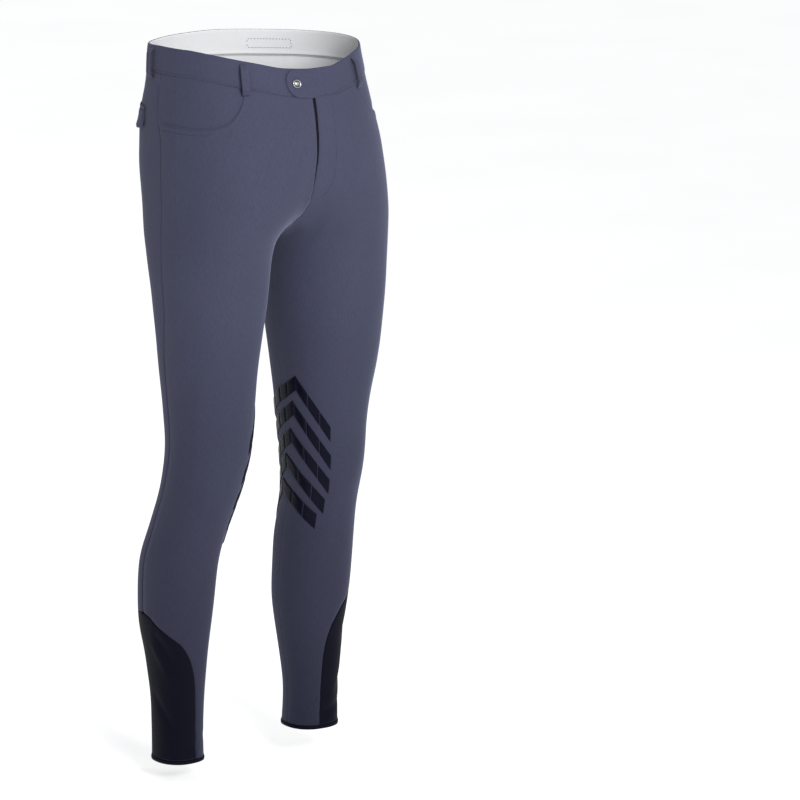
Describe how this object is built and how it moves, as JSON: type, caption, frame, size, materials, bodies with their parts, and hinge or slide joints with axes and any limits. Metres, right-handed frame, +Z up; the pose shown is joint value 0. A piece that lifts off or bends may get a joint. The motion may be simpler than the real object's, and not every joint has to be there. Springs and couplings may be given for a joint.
{
  "type": "riding breeches",
  "caption": "Men's riding breeches in worn shape: waistband with tab and belt loops, scooped front pockets, flapped back pockets, knee grips and close calf panels.",
  "frame": {"origin": "middle of the waist opening, level with the top of the band at the sides, where a person or a form would hold the breeches up", "axes": "+Z up along the legs, the front of the breeches faces -Y, the wearer's right leg is at -X"},
  "size_m": [0.35, 0.2774, 1.0121],
  "materials": {
    "jersey": "matt blue-grey stretch jersey",
    "stretch": "smooth near-black stretch cloth",
    "lining": "pale grey waistband lining",
    "silicone": "slightly glossy dark navy silicone blocks",
    "metal": "silver-coloured turned button"
  },
  "bodies": {
    "root": {"front_right": "jersey", "front_left": "jersey", "back_right": "jersey", "back_left": "jersey", "inner_leg_right": "jersey", "inner_leg_left": "jersey", "calf_panel_right": "stretch", "calf_panel_left": "stretch", "hem_binding_right": "stretch", "hem_binding_left": "stretch", "pocket_facing_right": "jersey", "pocket_facing_left": "jersey", "back_pocket_welt_right": "jersey", "back_pocket_welt_left": "jersey", "back_pocket_flap_right": "jersey", "back_pocket_flap_left": "jersey", "flap_button_right": "metal", "flap_button_left": "metal", "knee_grip_right_1": "silicone", "knee_grip_right_2": "silicone", "knee_grip_right_3": "silicone", "knee_grip_right_4": "silicone", "knee_grip_right_5": "silicone", "knee_grip_left_1": "silicone", "knee_grip_left_2": "silicone", "knee_grip_left_3": "silicone", "knee_grip_left_4": "silicone", "knee_grip_left_5": "silicone", "waistband": "jersey", "waistband_facing": "lining", "fly_underlap": "jersey", "loop_front_right": "jersey", "loop_front_left": "jersey", "loop_side_right": "jersey", "loop_side_left": "jersey", "loop_back_right": "jersey", "loop_back_left": "jersey", "waist_button": "metal"}
  },
  "joints": []
}
